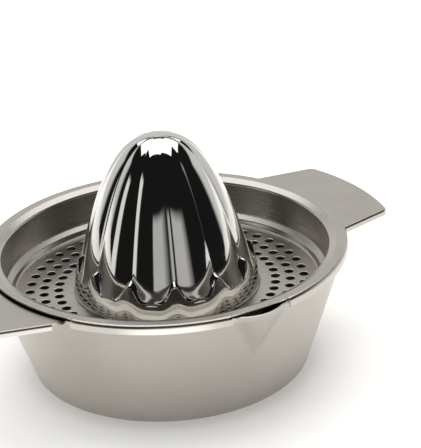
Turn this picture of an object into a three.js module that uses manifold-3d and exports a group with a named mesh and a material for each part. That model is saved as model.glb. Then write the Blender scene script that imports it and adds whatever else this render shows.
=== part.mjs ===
// A two-piece stainless steel hand juicer for citrus fruit.
// A deep drawn bowl with a pouring spout and a handle carries a strainer. The strainer's brim rises to
// a turned-down lip that hooks over the bowl's rim, its perforated floor holds a fluted, polished
// reamer, and its own handle stands opposite the bowl's.
// Millimetres, +Z up, origin on the axis at the bowl's flat bottom.
// The strainer's handle points along +X, the bowl's handle along -X and the spout along -Y.
import * as THREE from 'three';
import { mergeVertices } from 'three/addons/utils/BufferGeometryUtils.js';
import Module from 'manifold-3d';

const wasm = await Module();
wasm.setup();

// Shared sizes
const sheet = 0.7;                    // thickness of the steel sheet
const seatGap = 0.3;                  // play between pieces that rest on each other
const rimHeight = 51.8;               // crest of the strainer's brim above the table
const rimRadius = 74.2;               // outside of the strainer's lip
const cutOverrun = 5;                 // how far a cutter passes what it cuts
const joinTolerance = 0.01;           // how closely one surface is found where it meets another
const bendSteps = 2;                  // facets round each bend of a profile
const cornerSteps = 3;                // facets round each corner of a handle

// Strainer
const strainerFloorHeight = 33.6;     // top of the perforated floor
const strainerFloorRadius = 59.5;     // where the floor turns up into the shallow slope
const strainerFloorBend = 3;
const strainerStepRadius = 65;        // top of the slope, where the upright wall begins
const strainerStepRise = 3.5;
const strainerStepBend = 2;
const strainerWallRadius = 66.3;      // inside of the wall where the brim begins
const strainerWallBend = 1.2;
const brimSlope = 23;                 // rise of the brim outwards, degrees
const brimBend = 1.4;                 // crest, where the brim turns down into the lip
const lipDepth = 3.6;                 // lower edge of the upright lip below the crest
const reamerOpeningRadius = 34;       // hole in the floor under the hollow reamer
const strainerSegments = 64;

// Drain holes
const holeDiameter = 3.6;
const holeSides = 8;
const holesPerRing = 48;
const innerRingRadius = 44.4;
const middleRingRadius = 50.4;        // its holes stand half a pitch off the other two rings
const outerRingRadius = 56.1;
const holeTurn = 1.7;                 // first hole from the strainer's handle, degrees

// Reamer
const reamerFlutes = 12;
const reamerTurn = 21;                // first crest from the strainer's handle, degrees
const reamerHeight = 65;              // tip above the floor
const reamerCrestRadius = 37.3;       // over the crests of the lobes, carried down to the floor
const reamerFullness = 1.3;           // 1 for a parabola, 2 for an elliptical dome
const reamerWall = 1.4;               // between the outside and the hollow, measured level
const valleyShare = 0.95;             // radius in the valleys, of the radius at the crests
const footRadius = 38.2;
const footLedge = 0.6;                // flat edge of the foot on the floor
const footShoulderHeight = 30;        // where the round shoulder of the foot would meet the axis
const footTop = 18;                   // above this height the lobes run undisturbed
const facetsPerFlute = 6;
const footRows = 4;
const lobeRows = 9;

// Bowl
const bowlBaseShare = 0.759;          // wall line carried down to the table, of the rim's radius
const bowlBaseBend = 3;
const collarClearance = 1;            // between the upright collar and the strainer's lip round it
const collarBend = 1;
const spoutHalfAngle = 9.8;           // degrees each side of the spout's middle
const spoutReach = 4.1;               // rim pressed out at the spout
const spoutBulge = 3.2;               // wall pressed out at the foot of the collar
const spoutFoot = 29;                 // height at which the spout's creases meet
const spoutSegments = 12;
const wallRows = 3;
const bowlHandleDrop = 1.4;           // top of the bowl's handle below the crest of the brim
const bowlHandleBend = 1.8;
const handleRootAngle = 27.2;         // half of the arc that a handle takes on the rim, degrees
const handleBlendAngle = 4.3;         // arc in which the collar turns out to the handle, degrees
const handleSegments = 10;
const blendSegments = 2;
const openSegments = [36, 9];         // facets from spout round to the handle, and from there back

// Handles
const handleLength = 95;              // outer edge from the axis, round about the axis
const handleTipHalfWidth = 28;
const handleCornerRadius = 2.5;
const hemDepth = 1.8;                 // turned-down edge, below the plate's underside
const handleEdgeRound = 0.6;

const degrees = Math.PI / 180;
const turn = 360;
const spoutAzimuth = 270;
const bowlHandleAzimuth = 180;
const footSeat = strainerFloorHeight + seatGap;

// Corner where the lines of the brim and the lip meet, above the crest's bend
const crestRadius = rimRadius - brimBend;
const halfCrest = ((turn / 4 - brimSlope) / 2) * degrees;
const brimCorner = rimHeight - brimBend + brimBend / Math.tan(halfCrest);
const brimAt = (radius) => brimCorner - (rimRadius - radius) * Math.tan(brimSlope * degrees);
const brimFoot = brimAt(strainerWallRadius);

const bowlBaseRadius = rimRadius * bowlBaseShare;
const collarRadius = rimRadius - sheet - collarClearance;
const collarFoot = rimHeight - lipDepth;
const bowlRimHeight = brimAt(collarRadius - sheet) - (sheet + seatGap) / Math.cos(brimSlope * degrees);
const bowlSlope = (collarRadius - bowlBaseRadius) / collarFoot;

const point = (r, z) => new THREE.Vector2(r, z);
const mix = (a, b, share) => a + (b - a) * share;
const bowlWallAt = (height) => bowlBaseRadius + bowlSlope * height;

// Corners are [radius, height, bend radius]. Gives the line through them with its bends as arcs.
function bentLine(corners, steps = bendSteps) {
  const line = [];
  corners.forEach(([x, y, bend], i) => {
    const corner = point(x, y);
    if (!bend) {
      line.push(corner);
      return;
    }
    const back = point(corners[i - 1][0], corners[i - 1][1]).sub(corner).normalize();
    const ahead = point(corners[i + 1][0], corners[i + 1][1]).sub(corner).normalize();
    const half = Math.acos(THREE.MathUtils.clamp(back.dot(ahead), -1, 1)) / 2;
    const side = Math.sign(back.cross(ahead));
    const sweep = (Math.PI - 2 * half) * -side;
    const start = corner.clone().addScaledVector(back, bend / Math.tan(half));
    const inward = point(back.y, -back.x).multiplyScalar(-side);
    const centre = start.clone().addScaledVector(inward, bend);
    for (let k = 0; k <= steps; k++) {
      line.push(start.clone().rotateAround(centre, (sweep * k) / steps));
    }
  });
  return line;
}

// The same corners moved to the left of their line, by a distance that may be negative.
function beside(corners, distance) {
  const normals = corners.slice(1).map(([x, y], i) => {
    const along = point(x - corners[i][0], y - corners[i][1]).normalize();
    return point(-along.y, along.x);
  });
  return corners.map(([x, y, bend], i) => {
    const before = normals[Math.max(i - 1, 0)];
    const after = normals[Math.min(i, normals.length - 1)];
    const mitre = before.clone().add(after);
    mitre.multiplyScalar((2 * distance) / mitre.lengthSq());
    const turnSide = Math.sign(before.cross(after));
    return [x + mitre.x, y + mitre.y, bend ? bend - distance * turnSide : bend];
  });
}

// A closed body whose section at each azimuth is profileAt(azimuth), material on the line's left.
// A section starts and ends on the axis, or closes on itself.
function turned(profileAt, azimuths) {
  const columns = azimuths.map((azimuth) => {
    const profile = profileAt(azimuth);
    const onAxis = profile[0].x === 0;
    const line = onAxis ? profile : [...profile, profile[0]];
    const [c, s] = [Math.cos(azimuth * degrees), Math.sin(azimuth * degrees)];
    return line.map(({ x, y }) => new THREE.Vector3(x * c, x * s, y));
  });
  const corners = [];
  columns.forEach((column, i) => {
    const next = columns[(i + 1) % columns.length];
    for (let j = 0; j < column.length - 1; j++) {
      if (Math.hypot(column[j].x, column[j].y) > 0) {
        corners.push(column[j], next[j], column[j + 1]);
      }
      if (Math.hypot(column[j + 1].x, column[j + 1].y) > 0) {
        corners.push(next[j], next[j + 1], column[j + 1]);
      }
    }
  });
  return new THREE.BufferGeometry().setFromPoints(corners);
}

const spread = (from, to, count) =>
  Array.from({ length: count }, (_, i) => mix(from, to, i / count));

// Joining and cutting
function solidOf(geometry) {
  const bare = geometry.clone();
  bare.deleteAttribute('normal');
  bare.deleteAttribute('uv');
  const merged = mergeVertices(bare);
  const triVerts = merged.index
    ? Uint32Array.from(merged.index.array)
    : Uint32Array.from({ length: merged.attributes.position.count }, (_, i) => i);
  const vertProperties = Float32Array.from(merged.attributes.position.array);
  return new wasm.Manifold(new wasm.Mesh({ numProp: 3, vertProperties, triVerts }));
}

function geometryOf(solid) {
  const { vertProperties, triVerts } = solid.getMesh();
  const geometry = new THREE.BufferGeometry();
  geometry.setAttribute('position', new THREE.BufferAttribute(vertProperties, 3));
  geometry.setIndex(new THREE.BufferAttribute(triVerts, 1));
  geometry.computeVertexNormals();
  return geometry;
}

// A flat slab of an outline seen from above, from one height up to another.
function slab(outline, bottom, top) {
  const depth = top - bottom;
  const geometry = new THREE.ExtrudeGeometry(outline, {
    depth, bevelEnabled: false, curveSegments: cornerSteps * bendSteps,
  });
  return solidOf(geometry.translate(0, 0, bottom));
}

// Outline of a ring sector about the axis, where the lip is cut away.
function sector(azimuth, halfAngle, inner, outer) {
  const outline = new THREE.Shape();
  const from = (azimuth - halfAngle) * degrees;
  const to = (azimuth + halfAngle) * degrees;
  outline.absarc(0, 0, outer, from, to, false);
  outline.absarc(0, 0, inner, to, from, true);
  return outline;
}

// Outline of a handle along +X. The sides draw in towards the tip, and the outer edge is round
// about the axis. The inset moves the sides and the outer edge inwards.
function handleOutline(innerRadius, inset) {
  const rootHalf = rimRadius * Math.sin(handleRootAngle * degrees) - inset;
  const rootX = rimRadius * Math.cos(handleRootAngle * degrees);
  const reach = handleLength - inset;
  const tipHalf = handleTipHalfWidth - inset;
  const tipX = Math.sqrt(reach ** 2 - tipHalf ** 2);
  const lean = (rootHalf - tipHalf) / (tipX - rootX);
  const sideAt = (x) => rootHalf - lean * (x - rootX);
  const startX = Math.sqrt(innerRadius ** 2 - sideAt(rootX) ** 2);
  const start = Math.atan2(sideAt(startX), startX);
  const round = Math.max(handleCornerRadius - inset, sheet);
  const edgeAngle = Math.asin((tipHalf - round) / reach);

  const outline = new THREE.Shape();
  outline.moveTo(startX, -sideAt(startX));
  outline.lineTo(tipX - round, -sideAt(tipX - round));
  outline.quadraticCurveTo(tipX, -tipHalf, reach * Math.cos(edgeAngle), -reach * Math.sin(edgeAngle));
  outline.absarc(0, 0, reach, -edgeAngle, edgeAngle, false);
  outline.quadraticCurveTo(tipX, tipHalf, tipX - round, sideAt(tipX - round));
  outline.lineTo(startX, sideAt(startX));
  outline.absarc(0, 0, Math.hypot(startX, sideAt(startX)), start, -start, true);
  return outline;
}

// A handle is a plate with a turned-down hem round its sides and its outer edge.
function hemmedPlate(top, innerRadius, hemInnerRadius) {
  const underside = top - sheet;
  const below = underside - hemDepth - sheet;
  const block = slab(handleOutline(innerRadius, 0), underside - hemDepth, top - handleEdgeRound);
  const cap = slab(handleOutline(innerRadius, handleEdgeRound), underside, top);
  const pocket = slab(handleOutline(innerRadius - cutOverrun, sheet), below, underside);
  const core = new THREE.CylinderGeometry(
    hemInnerRadius, hemInnerRadius, underside - below, strainerSegments,
  );
  core.rotateX(Math.PI / 2).translate(0, 0, (underside + below) / 2);
  return block.add(cap).subtract(pocket).subtract(solidOf(core));
}

// Bowl: a deep drawn cup. Its rim is an upright collar inside the strainer's lip, turns out to a
// plate at the handle, and is pressed out to a spout.
function spoutShare(azimuth, height) {
  const halfAngle = (spoutHalfAngle * (height - spoutFoot)) / (bowlRimHeight - spoutFoot);
  const across = Math.abs(azimuth - spoutAzimuth);
  return across < halfAngle ? 1 - (across / halfAngle) ** 2 : 0;
}

function handleShare(azimuth) {
  const inside = handleRootAngle + handleBlendAngle - Math.abs(azimuth - bowlHandleAzimuth);
  return THREE.MathUtils.smoothstep(inside, 0, handleBlendAngle);
}

function bowlProfile(azimuth) {
  const spout = spoutShare(azimuth, bowlRimHeight);
  const handle = handleShare(azimuth);
  const wall = spread(spoutFoot, collarFoot, wallRows).map((height) => {
    const rise = (height - spoutFoot) / (collarFoot - spoutFoot);
    return [bowlWallAt(height) + spoutBulge * rise * spoutShare(azimuth, height), height, 0];
  });
  const plateUnderside = rimHeight - bowlHandleDrop - sheet;
  const plateRadius = bowlWallAt(plateUnderside);
  const bend = [
    mix(collarRadius + spoutBulge * spout, plateRadius, handle),
    mix(collarFoot, plateUnderside, handle),
    mix(collarBend, bowlHandleBend, handle),
  ];
  const edge = [
    mix(collarRadius + spoutReach * spout, plateRadius + 2 * bowlHandleBend, handle),
    mix(bowlRimHeight, plateUnderside, handle),
    0,
  ];
  const outside = [[bowlBaseRadius, 0, bowlBaseBend], ...wall, bend, edge];
  const fromAxis = [[bowlBaseRadius / 2, 0, 0], ...outside];
  const inside = beside(fromAxis, sheet);
  return [
    point(0, 0), ...bentLine(fromAxis).slice(1),
    ...bentLine(inside).slice(1).reverse(), point(0, sheet),
  ];
}

function bowl() {
  const spoutEnd = spoutAzimuth + spoutHalfAngle;
  const spoutStart = spoutAzimuth - spoutHalfAngle;
  const handleStart = bowlHandleAzimuth - handleRootAngle;
  const handleEnd = bowlHandleAzimuth + handleRootAngle;
  const azimuths = [
    ...spread(spoutEnd - turn, handleStart - handleBlendAngle, openSegments[0]),
    ...spread(handleStart - handleBlendAngle, handleStart, blendSegments),
    ...spread(handleStart, handleEnd, handleSegments),
    ...spread(handleEnd, handleEnd + handleBlendAngle, blendSegments),
    ...spread(handleEnd + handleBlendAngle, spoutStart, openSegments[1]),
    ...spread(spoutStart, spoutEnd, spoutSegments),
  ];
  const cup = solidOf(turned(bowlProfile, azimuths));
  const plateTop = rimHeight - bowlHandleDrop;
  const plateStart = bowlWallAt(plateTop - sheet) + bowlHandleBend;
  const plate = hemmedPlate(plateTop, plateStart, plateStart + sheet).rotate([0, 0, bowlHandleAzimuth]);
  return geometryOf(cup.add(plate));
}

// Strainer: floor, slope, upright wall, rising brim and turned-down lip in one pressing.
function strainerProfile() {
  const top = [
    [reamerOpeningRadius, strainerFloorHeight, 0],
    [strainerFloorRadius, strainerFloorHeight, strainerFloorBend],
    [strainerStepRadius, strainerFloorHeight + strainerStepRise, strainerStepBend],
    [strainerWallRadius, brimFoot, strainerWallBend],
    [rimRadius, brimCorner, brimBend],
    [rimRadius, rimHeight - lipDepth, 0],
  ];
  return [...bentLine(beside(top, -sheet), 1), ...bentLine(top).reverse()];
}

function drainHoles() {
  const pitch = turn / holesPerRing;
  const rings = [[innerRingRadius, 0], [middleRingRadius, pitch / 2], [outerRingRadius, 0]];
  const depth = sheet + 2 * cutOverrun;
  return rings.flatMap(([radius, offset]) =>
    spread(holeTurn + offset, holeTurn + offset + turn, holesPerRing).map((azimuth) => {
      const pin = new THREE.CylinderGeometry(holeDiameter / 2, holeDiameter / 2, depth, holeSides);
      pin.rotateX(Math.PI / 2).translate(radius, 0, strainerFloorHeight).rotateZ(azimuth * degrees);
      return solidOf(pin);
    }));
}

function strainer() {
  const body = solidOf(turned(strainerProfile, spread(0, turn, strainerSegments)));
  const lipEdge = rimRadius + cutOverrun;
  const cutBottom = rimHeight - lipDepth - cutOverrun;
  const cutTop = rimHeight + cutOverrun;
  const gaps = [
    sector(spoutAzimuth, spoutHalfAngle, crestRadius, lipEdge),
    sector(bowlHandleAzimuth, handleRootAngle + handleBlendAngle, crestRadius, lipEdge),
    sector(0, handleRootAngle, crestRadius, lipEdge),
  ];
  const trimmed = gaps.reduce((solid, gap) => solid.subtract(slab(gap, cutBottom, cutTop)), body);
  const handle = hemmedPlate(rimHeight, crestRadius - sheet, rimRadius - sheet);
  const holes = drainHoles().reduce((all, hole) => all.add(hole));
  return geometryOf(trimmed.add(handle).subtract(holes));
}

// Reamer: twelve round lobes on a dome, running down into the round shoulder of a foot.
function crestAt(height) {
  const share = height / reamerHeight;
  return reamerCrestRadius * Math.sqrt(Math.max(1 - share ** reamerFullness, 0));
}

// Radius of a round lobe at an angle from its crest: a circle through its crest and both valleys.
function lobeAt(fromCrest, height) {
  const crest = crestAt(height);
  const valley = crest * valleyShare;
  const halfFlute = Math.PI / reamerFlutes;
  const centre = (crest ** 2 - valley ** 2) / (2 * (crest - valley * Math.cos(halfFlute))) || 0;
  const radius = crest - centre;
  return centre * Math.cos(fromCrest) + Math.sqrt(radius ** 2 - (centre * Math.sin(fromCrest)) ** 2);
}

const footTopRadius = footRadius - footLedge;
const footAt = (height) => footTopRadius * Math.sqrt(1 - (height / footShoulderHeight) ** 2);

// Height above the floor at which the lobe's wall rises out of the foot.
function lobeFoot(fromCrest) {
  let [low, high] = [0, footTop];
  while (high - low > joinTolerance) {
    const middle = (low + high) / 2;
    if (lobeAt(fromCrest, middle) < footAt(middle - sheet)) low = middle;
    else high = middle;
  }
  return low;
}

function reamerProfile(azimuth) {
  const flute = turn / reamerFlutes;
  const fromTurn = azimuth - reamerTurn;
  const fromCrest = (fromTurn - flute * Math.round(fromTurn / flute)) * degrees;
  const crease = lobeFoot(fromCrest);
  const foot = spread(sheet, crease, footRows).map((height) => point(footAt(height - sheet), height));
  const lobe = spread(0, Math.PI / 2, lobeRows).map((angle) => {
    const height = mix(crease, reamerHeight, Math.sin(angle));
    return point(lobeAt(fromCrest, height), height);
  });
  const outside = [...foot, ...lobe];
  const inside = outside.filter((_, i) => i % 2 === 0).map(({ x, y }) => point(x - reamerWall, y - sheet));
  const tip = [point(0, reamerHeight - reamerWall), point(0, reamerHeight)];
  return [
    tip[0], ...inside.reverse(), point(footRadius, 0), point(footRadius, sheet), ...outside, tip[1],
  ].map(({ x, y }) => point(x, y + footSeat));
}

function reamer() {
  const facets = reamerFlutes * facetsPerFlute;
  const azimuths = spread(reamerTurn, reamerTurn + turn, facets);
  return geometryOf(solidOf(turned(reamerProfile, azimuths)));
}

function piece(name, geometry, color, roughness) {
  const material = new THREE.MeshStandardMaterial({ color, roughness, metalness: 1 });
  const mesh = new THREE.Mesh(geometry, material);
  mesh.name = name;
  return mesh;
}

const group = new THREE.Group();
group.add(
  piece('bowl', bowl(), 0xbdb8b0, 0.38),
  piece('strainer_tray', strainer(), 0xc4c0b9, 0.32),
  piece('reamer_cone', reamer(), 0xd6d5d2, 0.06),
);

export default group;
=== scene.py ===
# Two-piece stainless steel citrus juicer: a spouted bowl, a strainer that hooks over its rim and a
# fluted reamer. Metres, +Z up, origin at the bowl's flat bottom, handles along X, spout along -Y.
import math

import bmesh
import bpy
from mathutils import Matrix, Vector


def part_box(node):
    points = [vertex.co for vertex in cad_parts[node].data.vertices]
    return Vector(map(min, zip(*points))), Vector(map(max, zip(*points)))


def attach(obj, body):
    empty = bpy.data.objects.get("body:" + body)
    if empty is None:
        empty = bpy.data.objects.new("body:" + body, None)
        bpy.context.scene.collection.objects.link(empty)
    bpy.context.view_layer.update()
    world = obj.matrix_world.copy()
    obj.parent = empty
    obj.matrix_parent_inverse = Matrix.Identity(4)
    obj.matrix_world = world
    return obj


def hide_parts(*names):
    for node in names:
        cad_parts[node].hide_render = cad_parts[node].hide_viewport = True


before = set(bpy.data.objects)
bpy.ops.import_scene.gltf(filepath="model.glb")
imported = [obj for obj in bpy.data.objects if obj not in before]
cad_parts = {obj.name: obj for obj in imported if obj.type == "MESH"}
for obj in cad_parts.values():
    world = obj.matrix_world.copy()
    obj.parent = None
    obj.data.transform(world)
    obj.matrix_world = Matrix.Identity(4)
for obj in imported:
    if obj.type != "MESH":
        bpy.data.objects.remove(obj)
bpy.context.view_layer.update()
mm = 0.001
bowlLow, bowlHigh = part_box("bowl")
strainerLow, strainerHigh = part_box("strainer_tray")
reamerLow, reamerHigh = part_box("reamer_cone")
print("frame loaded:", len(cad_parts), "nodes")


# Drawing sheet metal ring by ring

def startRing(name, radius, height, columns, filled):
    bpy.ops.object.select_all(action="DESELECT")
    fill = "NGON" if filled else "NOTHING"
    bpy.ops.mesh.primitive_circle_add(vertices=columns, radius=radius, fill_type=fill,
                                      location=(0, 0, height))
    piece = bpy.context.object
    piece.name = piece.data.name = name
    bpy.ops.object.transform_apply(location=True, rotation=True, scale=True)
    bpy.ops.object.mode_set(mode="EDIT")
    bpy.ops.mesh.select_mode(type="EDGE")
    bpy.ops.mesh.select_all(action="SELECT")
    return piece, {"radius": radius, "height": height}


# Extrudes the selected ring, or part of a ring, to a new radius and height.
def drawTo(ring, radius, height):
    rise = height - ring["height"]
    bpy.ops.mesh.extrude_edges_move(TRANSFORM_OT_translate={"value": (0, 0, rise)})
    grow = radius / ring["radius"]
    bpy.ops.transform.resize(value=(grow, grow, 1), center_override=(0, 0, 0))
    ring.update(radius=radius, height=height)


# Corners are (radius, height, bend radius). Gives the line through them, its bends as arcs.
def bentLine(corners, steps=5):
    line = []
    for i, (radius, height, bend) in enumerate(corners):
        corner = Vector((radius, height))
        if not bend:
            line.append(corner)
            continue
        back = (Vector(corners[i - 1][:2]) - corner).normalized()
        ahead = (Vector(corners[i + 1][:2]) - corner).normalized()
        half = back.angle(ahead) / 2
        centre = corner + (back + ahead).normalized() * bend / math.sin(half)
        start = corner + back * bend / math.tan(half) - centre
        sweep = (math.pi - 2 * half) * math.copysign(1, ahead.cross(back))
        for k in range(steps + 1):
            line.append(centre + Matrix.Rotation(sweep * k / steps, 2) @ start)
    return line


def azimuthOf(point):
    return math.degrees(math.atan2(point.y, point.x)) % 360


def turnFrom(point, azimuth):
    return (azimuthOf(point) - azimuth + 180) % 360 - 180


def radiusOf(point):
    return math.hypot(point.x, point.y)


def smooth(share):
    share = min(max(share, 0), 1)
    return share * share * (3 - 2 * share)


def selectEdges(piece, test):
    bpy.ops.mesh.select_mode(type="EDGE")
    bpy.ops.mesh.select_all(action="DESELECT")
    mesh = bmesh.from_edit_mesh(piece.data)
    for edge in mesh.edges:
        edge.select_set(test(edge))
    bmesh.update_edit_mesh(piece.data)


def placeSelected(piece, place):
    mesh = bmesh.from_edit_mesh(piece.data)
    for vertex in mesh.verts:
        if vertex.select:
            vertex.co = place(vertex.co)
    bmesh.update_edit_mesh(piece.data)


# Outline of a handle from one root to the other, with the outward direction at each point. The sides
# run straight, the corners are rounded and the outer edge is round about the axis.
def handleOutline(handle, root):
    tip, corner, reach = math.radians(handle["tipAngle"]), handle["corner"], handle["reach"]
    tipPoint = Vector((reach * math.cos(tip), -reach * math.sin(tip)))
    along = (tipPoint - root).normalized()
    side = [root + along * handle["hemStart"], tipPoint - along * corner]
    edgeTurn = tip - corner / reach
    edgeStart = Vector((reach * math.cos(edgeTurn), -reach * math.sin(edgeTurn)))
    half = list(side)
    for k in range(1, 7):
        t = k / 6
        half.append(side[1] * (1 - t) ** 2 + tipPoint * 2 * t * (1 - t) + edgeStart * t ** 2)
    for k in range(1, 13):
        turn = -edgeTurn * (1 - k / 12)
        half.append(Vector((reach * math.cos(turn), reach * math.sin(turn))))
    points = half + [Vector((point.x, -point.y)) for point in reversed(half[:-1])]
    outline = []
    for i, point in enumerate(points):
        before, after = points[max(i - 1, 0)], points[min(i + 1, len(points) - 1)]
        run = (after - before).normalized()
        outline.append((point, Vector((run.y, -run.x))))
    return outline


# Draws a flat plate out of the rim and turns its outline down into a hem.
def drawHandle(piece, handle):
    azimuth = handle["azimuth"]
    aim = Matrix.Rotation(math.radians(azimuth), 3, "Z")
    mesh = bmesh.from_edit_mesh(piece.data)
    ends = [vertex.co.copy() for vertex in mesh.verts
            if vertex.is_boundary and radiusOf(vertex.co) > handle["rootRadius"]
            and abs(abs(turnFrom(vertex.co, azimuth)) - handle["rootAngle"]) < 0.1]
    nearest = min(radiusOf(end) for end in ends)
    ends = [end for end in ends if radiusOf(end) < nearest + 0.01 * mm]
    first, last = sorted(ends, key=lambda end: turnFrom(end, azimuth))
    top = first.z
    outline = handleOutline(handle, (aim.transposed() @ first).xy)

    # Rows of the hem: round the fold, then down to its edge.
    fold = handle["fold"]
    rows = []
    for k in range(7):
        angle = math.pi / 2 * k / 6
        shift, height = fold * (math.sin(angle) - 1), top - fold * (1 - math.cos(angle))
        rows.append([aim @ (point + out * shift).to_3d() + Vector((0, 0, height)) for point, out in outline])
    rows.append([Vector((point.x, point.y, top - handle["hem"])) for point in rows[-1]])

    bpy.ops.mesh.select_mode(type="VERT")
    bpy.ops.mesh.select_all(action="DESELECT")
    mesh = bmesh.from_edit_mesh(piece.data)
    for vertex in mesh.verts:
        vertex.select_set((vertex.co - first).length < 0.001 * mm)
    bmesh.update_edit_mesh(piece.data)
    at = first
    for point in [*rows[0], last]:
        bpy.ops.mesh.extrude_vertices_move(TRANSFORM_OT_translate={"value": point - at})
        at = point

    def roundPlate(edge):
        middle = (edge.verts[0].co + edge.verts[1].co) / 2
        inside = abs(turnFrom(middle, azimuth)) < handle["rootAngle"]
        return edge.is_wire or edge.is_boundary and inside and radiusOf(middle) > handle["rootRadius"]

    bpy.ops.mesh.select_all(action="SELECT")
    bpy.ops.mesh.remove_doubles(threshold=0.001 * mm)
    selectEdges(piece, roundPlate)
    bpy.ops.mesh.edge_face_add()

    def nearestOf(row, point):
        near = [(point - other).length for other in row]
        return near.index(min(near))

    def onOutline(edge):
        return all(min((vertex.co - point).length for point in rows[0]) < 0.01 * mm for vertex in edge.verts)

    selectEdges(piece, lambda edge: edge.is_boundary and onOutline(edge))
    for before, row in zip(rows, rows[1:]):
        bpy.ops.mesh.extrude_edges_move()
        placeSelected(piece, lambda point: row[nearestOf(before, point)])


# Faces outwards, then the sheet's thickness and softened cut edges. The probe is a point of the
# surface and the direction that it faces.
def finishSheet(piece, sheet, probe, facing):
    bpy.ops.mesh.select_all(action="SELECT")
    bpy.ops.mesh.normals_make_consistent(inside=False)
    mesh = bmesh.from_edit_mesh(piece.data)
    nearest = min(mesh.faces, key=lambda face: (face.calc_center_median() - probe).length)
    if nearest.normal.dot(facing) < 0:
        bpy.ops.mesh.flip_normals()
    bpy.ops.object.mode_set(mode="OBJECT")
    addModifier(piece, "SOLIDIFY", thickness=sheet, offset=-1, use_even_offset=True)
    addModifier(piece, "BEVEL", width=sheet / 5, segments=2, angle_limit=math.radians(60))


def addModifier(piece, kind, **settings):
    modifier = piece.modifiers.new(kind.lower(), kind)
    for name, value in settings.items():
        setattr(modifier, name, value)
    bpy.context.view_layer.objects.active = piece
    bpy.ops.object.modifier_apply(modifier=modifier.name)


def finishPiece(piece, node, body, material):
    bpy.ops.object.select_all(action="DESELECT")
    piece.select_set(True)
    bpy.context.view_layer.objects.active = piece
    bpy.ops.object.shade_smooth_by_angle(angle=math.radians(32))
    addModifier(piece, "WEIGHTED_NORMAL", keep_sharp=True)
    piece.data.materials.clear()
    piece.data.materials.append(material)
    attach(piece, body)
    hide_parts(node)
    print(piece.name, "made:", len(piece.data.polygons), "faces")


# Materials

def hexColour(code):
    parts = [int(code[i:i + 2], 16) / 255 for i in (1, 3, 5)]
    linear = [c / 12.92 if c <= 0.04045 else ((c + 0.055) / 1.055) ** 2.4 for c in parts]
    return (*linear, 1)


def addNode(tree, kind, settings=None, values=None, links=None):
    node = tree.nodes.new(kind)
    for name, value in (settings or {}).items():
        setattr(node, name, value)
    for socket, value in (values or {}).items():
        node.inputs[socket].default_value = value
    for socket, source in (links or {}).items():
        tree.links.new(source, node.inputs[socket])
    return node


def startMaterial(name):
    material = bpy.data.materials.new(name)
    material.use_nodes = True
    material.node_tree.nodes.clear()
    return material, material.node_tree


# Stretches a noise along the circles round the axis: it changes quickly across them and slowly along.
def turnedGrain(tree, position, across, along, detail):
    parts = addNode(tree, "ShaderNodeSeparateXYZ", links={0: position})
    flat = addNode(tree, "ShaderNodeCombineXYZ", links={0: parts.outputs[0], 1: parts.outputs[1]})
    radius = addNode(tree, "ShaderNodeVectorMath", {"operation": "LENGTH"}, links={0: flat.outputs[0]})
    run = addNode(tree, "ShaderNodeMath", {"operation": "ADD"},
                  links={0: radius.outputs["Value"], 1: parts.outputs[2]})
    scaled = [
        addNode(tree, "ShaderNodeMath", {"operation": "MULTIPLY"}, {1: 1 / size}, {0: source}).outputs[0]
        for source, size in ((parts.outputs[0], along), (parts.outputs[1], along), (run.outputs[0], across))
    ]
    place = addNode(tree, "ShaderNodeCombineXYZ", links={0: scaled[0], 1: scaled[1], 2: scaled[2]})
    return addNode(tree, "ShaderNodeTexNoise", values={"Scale": 1, "Detail": detail},
                   links={"Vector": place.outputs[0]}).outputs[0]


# Cold-rolled AISI 304 sheet, deep drawn and satin finished on the lathe: soft, slightly warm
# reflections, with fine polishing rings and faint cloudy patches where it was handled.
def satinSteel(name, look):
    material, tree = startMaterial(name)
    position = addNode(tree, "ShaderNodeTexCoord").outputs["Object"]
    rings = turnedGrain(tree, position, look["ringSpacing"], look["ringLength"], 3)
    clouds = addNode(tree, "ShaderNodeTexNoise", values={"Scale": 1 / look["cloudSize"], "Detail": 3},
                     links={"Vector": position}).outputs[0]
    both = addNode(tree, "ShaderNodeMix", {"data_type": "FLOAT"}, {0: 0.55}, {2: rings, 3: clouds})
    roughness = addNode(tree, "ShaderNodeMapRange",
                        values={1: 0.3, 2: 0.7, 3: look["roughness"][0], 4: look["roughness"][1]},
                        links={0: both.outputs[0]})
    colour = addNode(tree, "ShaderNodeMix", {"data_type": "RGBA"},
                     {6: hexColour(look["dark"]), 7: hexColour(look["pale"])}, {0: clouds})
    bump = addNode(tree, "ShaderNodeBump", values={"Strength": look["grain"], "Distance": 0.02 * mm},
                   links={"Height": rings})
    steel = addNode(tree, "ShaderNodeBsdfPrincipled", values={"Metallic": 1},
                    links={"Base Color": colour.outputs[2], "Roughness": roughness.outputs[0],
                           "Normal": bump.outputs[0]})
    addNode(tree, "ShaderNodeOutputMaterial", links={0: steel.outputs[0]})
    return material


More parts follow.
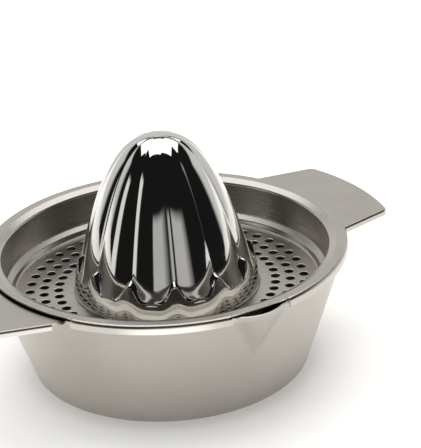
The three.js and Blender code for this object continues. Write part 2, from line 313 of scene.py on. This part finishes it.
# Mirror-polished AISI 304: buffed after pressing, so it reflects sharply, with a slow waviness left
# by the press and hairline buffing marks.
def polishedSteel(name, look):
    material, tree = startMaterial(name)
    position = addNode(tree, "ShaderNodeTexCoord").outputs["Object"]
    waves = addNode(tree, "ShaderNodeTexNoise", values={"Scale": 1 / look["waveSize"], "Detail": 1},
                    links={"Vector": position}).outputs[0]
    hairs = turnedGrain(tree, position, look["hairSpacing"], look["hairLength"], 4)
    roughness = addNode(tree, "ShaderNodeMapRange",
                        values={1: 0.35, 2: 0.75, 3: look["roughness"][0], 4: look["roughness"][1]},
                        links={0: hairs})
    colour = addNode(tree, "ShaderNodeMix", {"data_type": "RGBA"},
                     {6: hexColour(look["dark"]), 7: hexColour(look["pale"])}, {0: waves})
    bump = addNode(tree, "ShaderNodeBump", values={"Strength": look["waviness"], "Distance": 0.3 * mm},
                   links={"Height": waves})
    steel = addNode(tree, "ShaderNodeBsdfPrincipled", values={"Metallic": 1},
                    links={"Base Color": colour.outputs[2], "Roughness": roughness.outputs[0],
                           "Normal": bump.outputs[0]})
    addNode(tree, "ShaderNodeOutputMaterial", links={0: steel.outputs[0]})
    return material


# Bowl

bowlShape = {
    "columns": 360,
    "sheet": 0.7 * mm,
    "discRadius": 50 * mm,             # flat middle of the bottom
    "baseRadius": 56.3 * mm,           # where the wall's line meets the table
    "baseBend": 3 * mm,
    "collarRadius": bowlHigh.y,        # upright collar under the strainer's lip
    "collarFoot": 48.2 * mm,
    "collarBend": 1 * mm,
    "rimHeight": 50.4 * mm,
    "wallRows": 22,
    "spoutAzimuth": 270,
    "spoutHalfAngle": 10,
    "spoutFoot": 29 * mm,              # height where the spout's creases meet
    "spoutBulge": 3.2 * mm,
    "spoutReach": 4.1 * mm,
    "plateUnderside": 49.7 * mm,
    "plateBend": 1.8 * mm,
    "blendAngle": 4,                   # collar turns out to the plate within this arc, degrees
}
bowlHandle = {
    "azimuth": 180,
    "rootAngle": 27,
    "rootRadius": 60 * mm,
    "tipAngle": 17.1,
    "reach": -bowlLow.x - 0.7 * mm,    # inner face of the hem
    "hemStart": 1.2 * mm,
    "corner": 2 * mm,
    "fold": 0.4 * mm,
    "hem": 1.8 * mm,
}
bowlLook = {
    "dark": "#b4afa8", "pale": "#c2beb8", "roughness": (0.3, 0.36), "grain": 0.06,
    "ringSpacing": 0.5 * mm, "ringLength": 40 * mm, "cloudSize": 24 * mm,
}


def bowlWallAt(height):
    shape = bowlShape
    slope = (shape["collarRadius"] - shape["baseRadius"]) / shape["collarFoot"]
    return shape["baseRadius"] + slope * height


# The rim's path above the last row of the wall: up into the collar, or out into the handle's plate.
def rimPaths(start):
    shape = bowlShape
    foot = (bowlWallAt(start), start, 0)
    plateRadius = bowlWallAt(shape["plateUnderside"])
    collar = [foot, (shape["collarRadius"], shape["collarFoot"], shape["collarBend"]),
              (shape["collarRadius"], shape["rimHeight"], 0)]
    plate = [foot, (plateRadius, shape["plateUnderside"], shape["plateBend"]),
             (plateRadius + 2 * shape["plateBend"], shape["plateUnderside"], 0)]
    return bentLine(collar, 8)[1:], bentLine(plate, 8)[1:]


def spoutShare(point):
    shape = bowlShape
    rise = (point.z - shape["spoutFoot"]) / (shape["rimHeight"] - shape["spoutFoot"])
    if rise <= 0:
        return 0
    across = abs(turnFrom(point, shape["spoutAzimuth"])) / (shape["spoutHalfAngle"] * min(rise, 1))
    return max(1 - across ** 2, 0) ** 1.2


def makeBowl():
    shape = bowlShape
    bowl, ring = startRing("juicer_bowl", shape["discRadius"], 0, shape["columns"], True)
    outside = bentLine([(shape["discRadius"], 0, 0), (shape["baseRadius"], 0, shape["baseBend"])]
                       + [(bowlWallAt(shape["collarFoot"]), shape["collarFoot"], 0)], 8)
    drawTo(ring, shape["discRadius"] + 2 * mm, 0)
    for point in outside[1:-1]:
        drawTo(ring, point.x, point.y)
    wallStart = outside[-2].y
    wallEnd = shape["collarFoot"] - 2 * shape["plateBend"]
    for k in range(1, shape["wallRows"] + 1):
        height = wallStart + (wallEnd - wallStart) * k / shape["wallRows"]
        drawTo(ring, bowlWallAt(height), height)
    collar, plate = rimPaths(wallEnd)
    for point in collar:
        drawTo(ring, point.x, point.y)
    bpy.ops.object.mode_set(mode="OBJECT")

    for vertex in bowl.data.vertices:
        point = vertex.co
        share = spoutShare(point)
        if share:
            foot, top = shape["spoutFoot"], shape["collarFoot"]
            press = shape["spoutBulge"] * min((point.z - foot) / (top - foot), 1)
            lift = max(point.z - top, 0) / (shape["rimHeight"] - top)
            press += (shape["spoutReach"] - shape["spoutBulge"]) * lift
            point.xy *= 1 + press * share / radiusOf(point)
        away = abs(turnFrom(point, bowlHandle["azimuth"])) - bowlHandle["rootAngle"]
        share = smooth(1 - away / shape["blendAngle"])
        if share and point.z > wallEnd + 0.01 * mm:
            row = min(range(len(collar)), key=lambda k: abs(collar[k].y - point.z))
            target = collar[row].lerp(plate[row], share)
            point.xy *= target.x / radiusOf(point)
            point.z = target.y
    bpy.ops.object.mode_set(mode="EDIT")
    drawHandle(bowl, bowlHandle)
    finishSheet(bowl, shape["sheet"], Vector((0, 0, 0)), Vector((0, 0, -1)))
    return bowl


bowl = makeBowl()
finishPiece(bowl, "bowl", "bowl", satinSteel("satin stainless steel, bowl", bowlLook))


# Strainer

strainerShape = {
    "columns": 360,
    "sheet": 0.7 * mm,
    "floorHeight": strainerLow.z + 0.7 * mm,
    "openingRadius": 34 * mm,          # under the hollow reamer
    "floorRadius": 62.4 * mm,
    "floorBend": 1.2 * mm,
    "stepRadius": 63.5 * mm,           # steep rise to a rounded ledge
    "stepRise": 1.9 * mm,
    "stepBend": 1.1 * mm,
    "ledgeRadius": 66 * mm,
    "ledgeRise": 1.6 * mm,
    "ledgeBend": 0.8 * mm,
    "wallRadius": 66.3 * mm,
    "wallBend": 1.2 * mm,
    "brimSlope": 23,                   # degrees
    "brimBend": 1.4 * mm,
    "brimFlat": 69.6 * mm,             # the brim lies nearly level outside this radius
    "brimFlatBend": 1.2 * mm,
    "rimRadius": strainerHigh.y,
    "rimHeight": strainerHigh.z,
    "lipDepth": 3.6 * mm,
}
lipGaps = [(0, 27), (180, 31), (270, 10)]   # middle and half width in degrees: handle, bowl's handle, spout
strainerHandle = {
    "azimuth": 0,
    "rootAngle": 27,
    "rootRadius": 60 * mm,
    "tipAngle": 17.1,
    "reach": strainerHigh.x,
    "hemStart": 1.6 * mm,
    "corner": 2.5 * mm,
    "fold": 1 * mm,
    "hem": 2.5 * mm,
}
drainHoles = {
    "rings": [(44.4 * mm, 0), (50.4 * mm, 3.75), (56.1 * mm, 0)],   # radius, turn in degrees
    "perRing": 48,
    "turn": 1.7,                       # degrees
    "radius": 1.8 * mm,
    "softEdge": 0.3 * mm,              # rounded entry that the punch leaves
    "sides": 24,
}
strainerLook = {
    "dark": "#b9b4ac", "pale": "#c9c5bf", "roughness": (0.25, 0.31), "grain": 0.04,
    "ringSpacing": 0.45 * mm, "ringLength": 30 * mm, "cloudSize": 18 * mm,
}


def punchHoles(strainer):
    holes = drainHoles
    floor = strainerShape["floorHeight"]
    soft = holes["softEdge"]
    cutters = []
    for radius, turn in holes["rings"]:
        pin, ring = startRing("punch", holes["radius"], floor - 2 * mm, holes["sides"], True)
        drawTo(ring, holes["radius"], floor - soft)
        for k in (1, 2, 3):
            angle = math.radians(30 * k)
            drawTo(ring, holes["radius"] + soft * (1 - math.cos(angle)),
                   floor - soft * (1 - math.sin(angle)))
        drawTo(ring, holes["radius"] + soft, floor + 2 * mm)
        bpy.ops.mesh.edge_face_add()
        bpy.ops.mesh.select_all(action="SELECT")
        bpy.ops.mesh.normals_make_consistent(inside=False)
        start = math.radians(holes["turn"] + turn)
        bpy.ops.transform.translate(value=(radius * math.cos(start), radius * math.sin(start), 0))
        bpy.ops.mesh.spin(steps=holes["perRing"], dupli=True, angle=2 * math.pi,
                          center=(0, 0, 0), axis=(0, 0, 1))
        bpy.ops.mesh.select_all(action="SELECT")
        bpy.ops.mesh.remove_doubles(threshold=0.01 * mm)
        bpy.ops.mesh.normals_make_consistent(inside=False)
        bpy.ops.object.mode_set(mode="OBJECT")
        cutters.append(pin)
    for pin in cutters:
        addModifier(strainer, "BOOLEAN", operation="DIFFERENCE", solver="EXACT", object=pin)
        bpy.data.objects.remove(pin)


def makeStrainer():
    shape = strainerShape
    floor = shape["floorHeight"]
    slope = math.radians(shape["brimSlope"])
    crestRadius = shape["rimRadius"] - shape["brimBend"]
    brimFoot = shape["rimHeight"] - (shape["brimFlat"] - shape["wallRadius"]) * math.tan(slope)
    tray = bentLine([
        (shape["openingRadius"], floor, 0),
        (shape["floorRadius"], floor, shape["floorBend"]),
        (shape["stepRadius"], floor + shape["stepRise"], shape["stepBend"]),
        (shape["ledgeRadius"], floor + shape["stepRise"] + shape["ledgeRise"], shape["ledgeBend"]),
        (shape["wallRadius"], brimFoot, shape["wallBend"]),
        (shape["brimFlat"], shape["rimHeight"], shape["brimFlatBend"]),
        (crestRadius, shape["rimHeight"], 0),
    ], 6)[1:]
    centre = Vector((crestRadius, shape["rimHeight"] - shape["brimBend"]))

    def bendAt(angle):
        return centre + shape["brimBend"] * Vector((math.cos(angle), math.sin(angle)))

    strainer, ring = startRing("juicer_strainer", shape["openingRadius"], floor, shape["columns"], False)
    drawTo(ring, shape["openingRadius"] + 6 * mm, floor)
    drawTo(ring, shape["floorRadius"] - 2 * shape["floorBend"], floor)
    for point in tray:
        drawTo(ring, point.x, point.y)

    def underLip(edge):
        middle = (edge.verts[0].co + edge.verts[1].co) / 2
        clear = all(abs(turnFrom(middle, azimuth)) > half for azimuth, half in lipGaps)
        return edge.is_boundary and clear and radiusOf(middle) > strainerHandle["rootRadius"]

    selectEdges(strainer, underLip)
    for k in range(1, 9):
        point = bendAt(math.pi / 2 * (1 - k / 8))
        drawTo(ring, point.x, point.y)
    drawTo(ring, shape["rimRadius"], shape["rimHeight"] - shape["lipDepth"])
    drawHandle(strainer, strainerHandle)
    finishSheet(strainer, shape["sheet"], Vector((40 * mm, 0, floor)), Vector((0, 0, 1)))
    punchHoles(strainer)
    return strainer


strainer = makeStrainer()
finishPiece(strainer, "strainer_tray", "strainer",
            satinSteel("satin stainless steel, strainer", strainerLook))


# Reamer

reamerShape = {
    "flutes": 12,
    "columnsPerFlute": 36,
    "turn": 21,                        # first crest, degrees
    "seat": reamerLow.z,
    "height": reamerHigh.z - reamerLow.z,
    "wall": 0.8 * mm,
    "crestRadius": 37.8 * mm,          # crests carried down to the floor
    "fullness": 0.395,                 # 0.5 for a parabola
    "valleyShare": 0.96,
    "valleySoftness": 0.4 * mm,
    "swell": 0.6 * mm,                 # of the lobes where they end
    "swellHeight": 4 * mm,
    "skirtRadius": 38.1 * mm,          # below the lobes, carried down to the floor
    "skirtSlope": (0.203, 0.155),      # under a crest and under a valley
    "skirtCurve": 0.008 / mm,          # above the height where the skirt starts to lean in
    "skirtStraight": 8 * mm,
    "kneeStart": (7 * mm, 14.6 * mm),  # height where the skirt bends over into the lobes
    "kneeLength": (1.8 * mm, 1.6 * mm),
    "footRadius": reamerHigh.x,
    "footEdge": 0.5 * mm,              # rounded rim of the foot
    "edgeRows": 4,
    "skirtRows": 44,
    "lobeRows": 54,
}
reamerLook = {
    "dark": "#c9c8c5", "pale": "#d6d5d2", "roughness": (0.03, 0.07), "waviness": 0.12,
    "waveSize": 9 * mm, "hairSpacing": 0.4 * mm, "hairLength": 25 * mm,
}


def softMax(a, b, softness):
    near = max(softness - abs(a - b), 0) / softness
    return max(a, b) + near * near * softness / 4


def crestAt(height):
    shape = reamerShape
    share = max(1 - height / shape["height"], 0)
    kneeTop = shape["kneeStart"][0] + shape["kneeLength"][0]
    swell = shape["swell"] * math.exp((kneeTop - height) / shape["swellHeight"])
    return shape["crestRadius"] * share ** shape["fullness"] + swell * share


# Radius of the lobes, each a circle through its crest and the two valleys beside it.
def lobeAt(turn, height):
    shape = reamerShape
    crest = crestAt(height)
    if crest < 0.01 * mm:
        return 0
    valley = crest * shape["valleyShare"]
    half = math.pi / shape["flutes"]
    centre = (crest ** 2 - valley ** 2) / (2 * (crest - valley * math.cos(half)))
    reaches = []
    for angle in (turn, 2 * half - turn):
        across = max((crest - centre) ** 2 - (centre * math.sin(angle)) ** 2, 0)
        reaches.append(centre * math.cos(angle) + math.sqrt(across))
    return softMax(*reaches, shape["valleySoftness"] * crest / shape["crestRadius"])


# Radius and height of a row of the pressing: foot edge, skirt, then lobes up to the tip.
def reamerPoint(turn, row):
    shape = reamerShape
    edge = shape["footEdge"]
    if row <= shape["edgeRows"]:
        angle = math.pi / 2 * row / shape["edgeRows"]
        return shape["footRadius"] - edge + edge * math.cos(angle), edge * math.sin(angle)
    row -= shape["edgeRows"]
    fromCrest = math.sin(turn * shape["flutes"] / 2) ** 6
    slope, start, length = (
        crest + (valley - crest) * fromCrest
        for crest, valley in (shape["skirtSlope"], shape["kneeStart"], shape["kneeLength"])
    )
    top = start + length
    if row <= shape["skirtRows"]:
        height = edge + (top - edge) * row / shape["skirtRows"]
    else:
        share = ((row - shape["skirtRows"]) / shape["lobeRows"]) ** 1.2
        height = top + (shape["height"] - top) * math.sin(math.pi / 2 * share)
    leaning = max(height - shape["skirtStraight"], 0)
    skirt = shape["skirtRadius"] - slope * height - shape["skirtCurve"] * leaning ** 2
    return skirt + (lobeAt(turn, height) - skirt) * smooth((height - start) / length), height


def makeReamer():
    shape = reamerShape
    columns = shape["flutes"] * shape["columnsPerFlute"]
    rows = shape["edgeRows"] + shape["skirtRows"] + shape["lobeRows"]
    reamer, ring = startRing("juicer_reamer", shape["footRadius"], 0, columns, False)
    # The rows are drawn 1 mm apart first, so that each vertex's height gives its row.
    for row in range(1, rows + 1):
        drawTo(ring, shape["footRadius"], row * mm)
    bpy.ops.object.mode_set(mode="OBJECT")
    flute = 360 / shape["flutes"]
    for vertex in reamer.data.vertices:
        row = round(vertex.co.z / mm)
        azimuth = azimuthOf(vertex.co)
        fromCrest = abs((azimuth + flute / 2) % flute - flute / 2)
        radius, height = reamerPoint(math.radians(fromCrest), row)
        at = math.radians(azimuth + shape["turn"])
        vertex.co = (radius * math.cos(at), radius * math.sin(at), shape["seat"] + height)
    bpy.ops.object.mode_set(mode="EDIT")
    bpy.ops.mesh.select_all(action="SELECT")
    bpy.ops.mesh.remove_doubles(threshold=0.005 * mm)
    top = Vector((0, 0, reamerHigh.z))
    finishSheet(reamer, shape["wall"], top, Vector((0, 0, 1)))
    return reamer


reamer = makeReamer()
finishPiece(reamer, "reamer_cone", "strainer",
            polishedSteel("mirror-polished stainless steel", reamerLook))


# Studio

# Light round the object, as (azimuth in degrees, strength) and even between two of them, up to the
# elevations where it ends. The table's glow is (distance, strength): darker round the object's axis, a
# painted contact shadow, and brighter round a place before its lip, a painted pool of light.
studio = {
    "backdrop": [
        (-180, 0), (-28, 0), (-14, 0.8), (128, 0.8), (140, 0), (156, 0), (159, 1), (173, 1), (176, 0),
        (180, 0),
    ],
    "backdropTop": (27, 34),
    "window": [(-180, 0), (-134, 0), (-131, 0.6), (-103, 0.6), (-84, 0), (180, 0)],
    "windowTop": (17, 23),
    "room": 0.015,
    "tableSize": 6,
    "tableColour": "#f4f3f1",
    # Table glow by distance from the axis: low near the bowl, a painted contact shadow, even far away.
    "tableGlowWithPaintedShadow": [
        (0, 0.1), (56 * mm, 0.3), (64 * mm, 0.48), (78 * mm, 0.64), (125 * mm, 0.85), (1, 0.85),
    ],
    # A painted pool of light on the table before the lip, which the lip reflects as its white highlight.
    "lipPaintedLightPool": [(0, 1.1), (50 * mm, 1.1), (78 * mm, 0), (1, 0)],
    "lipPaintedLightPoolPlace": (-94 * mm, -162 * mm, 0),
}


# Colour along a value, from stops of (value, strength).
def stopsOf(tree, source, stops):
    first, last = stops[0][0], stops[-1][0]
    share = addNode(tree, "ShaderNodeMapRange", values={1: first, 2: last}, links={0: source})
    ramp = addNode(tree, "ShaderNodeValToRGB", links={0: share.outputs[0]})
    elements = ramp.color_ramp.elements
    elements.remove(elements[1])
    for value, strength in stops:
        elements.new((value - first) / (last - first)).color = (strength, strength * 0.99, strength * 0.97, 1)
    elements.remove(elements[0])
    return ramp.outputs[0]


def makeStudio():
    bpy.ops.object.select_all(action="DESELECT")
    bpy.ops.mesh.primitive_plane_add(size=studio["tableSize"])
    table = bpy.context.object
    table.name = "light_table"
    material, tree = startMaterial("light table, matt acrylic")
    position = addNode(tree, "ShaderNodeTexCoord").outputs["Object"]
    # Emission of the table: a painted contact shadow round the axis plus a painted pool of light before the
    # lip.
    glows = []
    for place, stops in (((0, 0, 0), studio["tableGlowWithPaintedShadow"]), (studio["lipPaintedLightPoolPlace"], studio["lipPaintedLightPool"])):
        distance = addNode(tree, "ShaderNodeVectorMath", {"operation": "DISTANCE"}, {1: place}, {0: position})
        glows.append(stopsOf(tree, distance.outputs["Value"], stops))
    glow = addNode(tree, "ShaderNodeVectorMath", {"operation": "ADD"}, links={0: glows[0], 1: glows[1]})
    acrylic = addNode(tree, "ShaderNodeBsdfPrincipled",
                      values={"Base Color": hexColour(studio["tableColour"]), "Roughness": 0.9,
                              "Emission Strength": 1},
                      links={"Emission Color": glow.outputs[0]})
    addNode(tree, "ShaderNodeOutputMaterial", links={0: acrylic.outputs[0]})
    table.data.materials.append(material)

    world = bpy.data.worlds.new("studio")
    world.use_nodes = True
    bpy.context.scene.world = world
    tree = world.node_tree
    tree.nodes.clear()
    facing = addNode(tree, "ShaderNodeTexCoord").outputs["Generated"]
    parts = addNode(tree, "ShaderNodeSeparateXYZ", links={0: facing})
    azimuth = addNode(tree, "ShaderNodeMath", {"operation": "ARCTAN2"},
                      links={0: parts.outputs[1], 1: parts.outputs[0]})
    lights = [addNode(tree, "ShaderNodeBackground", values={1: studio["room"]}).outputs[0]]
    for wall, top in (("backdrop", "backdropTop"), ("window", "windowTop")):
        stops = [(math.radians(angle), strength) for angle, strength in studio[wall]]
        low, high = (math.sin(math.radians(angle)) for angle in studio[top])
        below = addNode(tree, "ShaderNodeMapRange", {"interpolation_type": "SMOOTHSTEP"},
                        {1: low, 2: high, 3: 1, 4: 0}, {0: parts.outputs[2]})
        lit = addNode(tree, "ShaderNodeBackground",
                      links={0: stopsOf(tree, azimuth.outputs[0], stops), 1: below.outputs[0]})
        both = addNode(tree, "ShaderNodeAddShader", links={0: lights[-1], 1: lit.outputs[0]})
        lights.append(both.outputs[0])
    addNode(tree, "ShaderNodeOutputWorld", links={0: lights[-1]})


# A large softbox over the back, which whitens the step, the brim and the handles.
softbox = {
    "azimuth": 60,
    "elevation": 68,
    "aimHeight": 40 * mm,
    "distance": 1.2,
    "size": 1.3,
    "power": 8.8,
}


def makeSoftbox():
    azimuth, elevation = math.radians(softbox["azimuth"]), math.radians(softbox["elevation"])
    level = math.cos(elevation)
    out = Vector((math.cos(azimuth) * level, math.sin(azimuth) * level, math.sin(elevation)))
    lamp = bpy.data.lights.new("softbox", "AREA")
    lamp.shape = "SQUARE"
    lamp.size = softbox["size"]
    lamp.energy = softbox["power"]
    box = bpy.data.objects.new("softbox", lamp)
    box.location = out * softbox["distance"] + Vector((0, 0, softbox["aimHeight"]))
    box.rotation_euler = out.to_track_quat("Z", "Y").to_euler()
    bpy.context.collection.objects.link(box)


# Camera: looks 30 degrees round from +Y, from 24 degrees above the table, with a slight roll.
cameraView = {
    "azimuth": 30,
    "elevation": 24.36,
    "roll": 3.14,
    "target": Vector((44.3, 38.8, 33.6)) * mm,
    "distance": 868.9 * mm,
    "focalPixels": 2000,
    "framePixels": 448,                # longer side of the picture
    "sensor": 36,
}


def makeCamera():
    look = cameraView
    camera = bpy.data.objects.new("camera", bpy.data.cameras.new("camera"))
    bpy.context.collection.objects.link(camera)
    camera.data.sensor_width = look["sensor"]
    camera.data.lens = look["focalPixels"] * look["sensor"] / look["framePixels"]
    camera.data.clip_start, camera.data.clip_end = 0.05, 50
    turn = Matrix.Rotation(math.radians(-look["azimuth"]), 4, "Z")
    tilt = Matrix.Rotation(math.radians(90 - look["elevation"]), 4, "X")
    roll = Matrix.Rotation(math.radians(-look["roll"]), 4, "Z")
    aim = turn @ tilt @ roll
    camera.matrix_world = Matrix.Translation(look["target"] + aim.col[2].xyz * look["distance"]) @ aim
    bpy.context.scene.camera = camera


makeStudio()
makeSoftbox()
makeCamera()
bpy.context.scene.view_settings.view_transform = "Standard"
print("studio ready")
